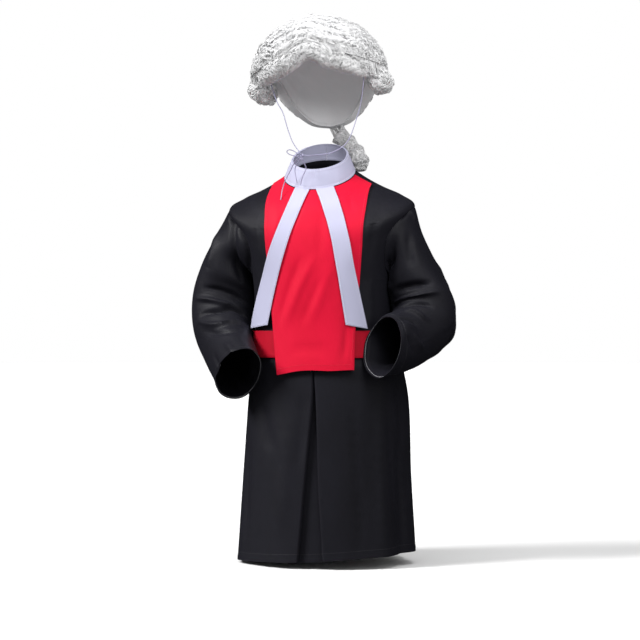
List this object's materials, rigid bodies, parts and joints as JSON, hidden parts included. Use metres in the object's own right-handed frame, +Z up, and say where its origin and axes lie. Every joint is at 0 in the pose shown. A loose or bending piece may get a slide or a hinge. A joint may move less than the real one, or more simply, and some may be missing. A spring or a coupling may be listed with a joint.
{
  "type": "judge costume",
  "caption": "Child's judge costume: black robe with a pleated front, red bib, white collar with two bands, and a white wig with ties.",
  "frame": {"origin": "between the two shoulder seams at the root of the neck, where the shoulders carry the robe", "axes": "+Z up, the front faces -Y, and the wearer's left arm is on +X"},
  "size_m": [0.4338, 0.2587, 0.8709],
  "materials": {
    "black_cloth": "bluish black suiting with a soft sheen",
    "red_cloth": "plain bright red cloth",
    "white_cloth": "crisp white cloth",
    "white_hair": "wavy white synthetic hair",
    "tie_cord": "thin satin cord"
  },
  "bodies": {
    "root": {"robe_front": "black_cloth", "robe_back_right": "black_cloth", "robe_back_left": "black_cloth", "sleeve_right": "black_cloth", "sleeve_left": "black_cloth", "bib": "red_cloth", "sash": "red_cloth", "collar": "white_cloth", "band_right": "white_cloth", "band_left": "white_cloth", "wig_crown": "white_hair", "wig_front_roll": "white_hair", "wig_side_roll_right": "white_hair", "wig_side_roll_left": "white_hair", "wig_queue": "white_hair", "chin_tie_right": "tie_cord", "chin_tie_left": "tie_cord", "tie_knot": "tie_cord", "tie_loop": "tie_cord", "tie_end_a": "tie_cord", "tie_end_b": "tie_cord", "tie_end_c": "tie_cord"}
  },
  "joints": []
}
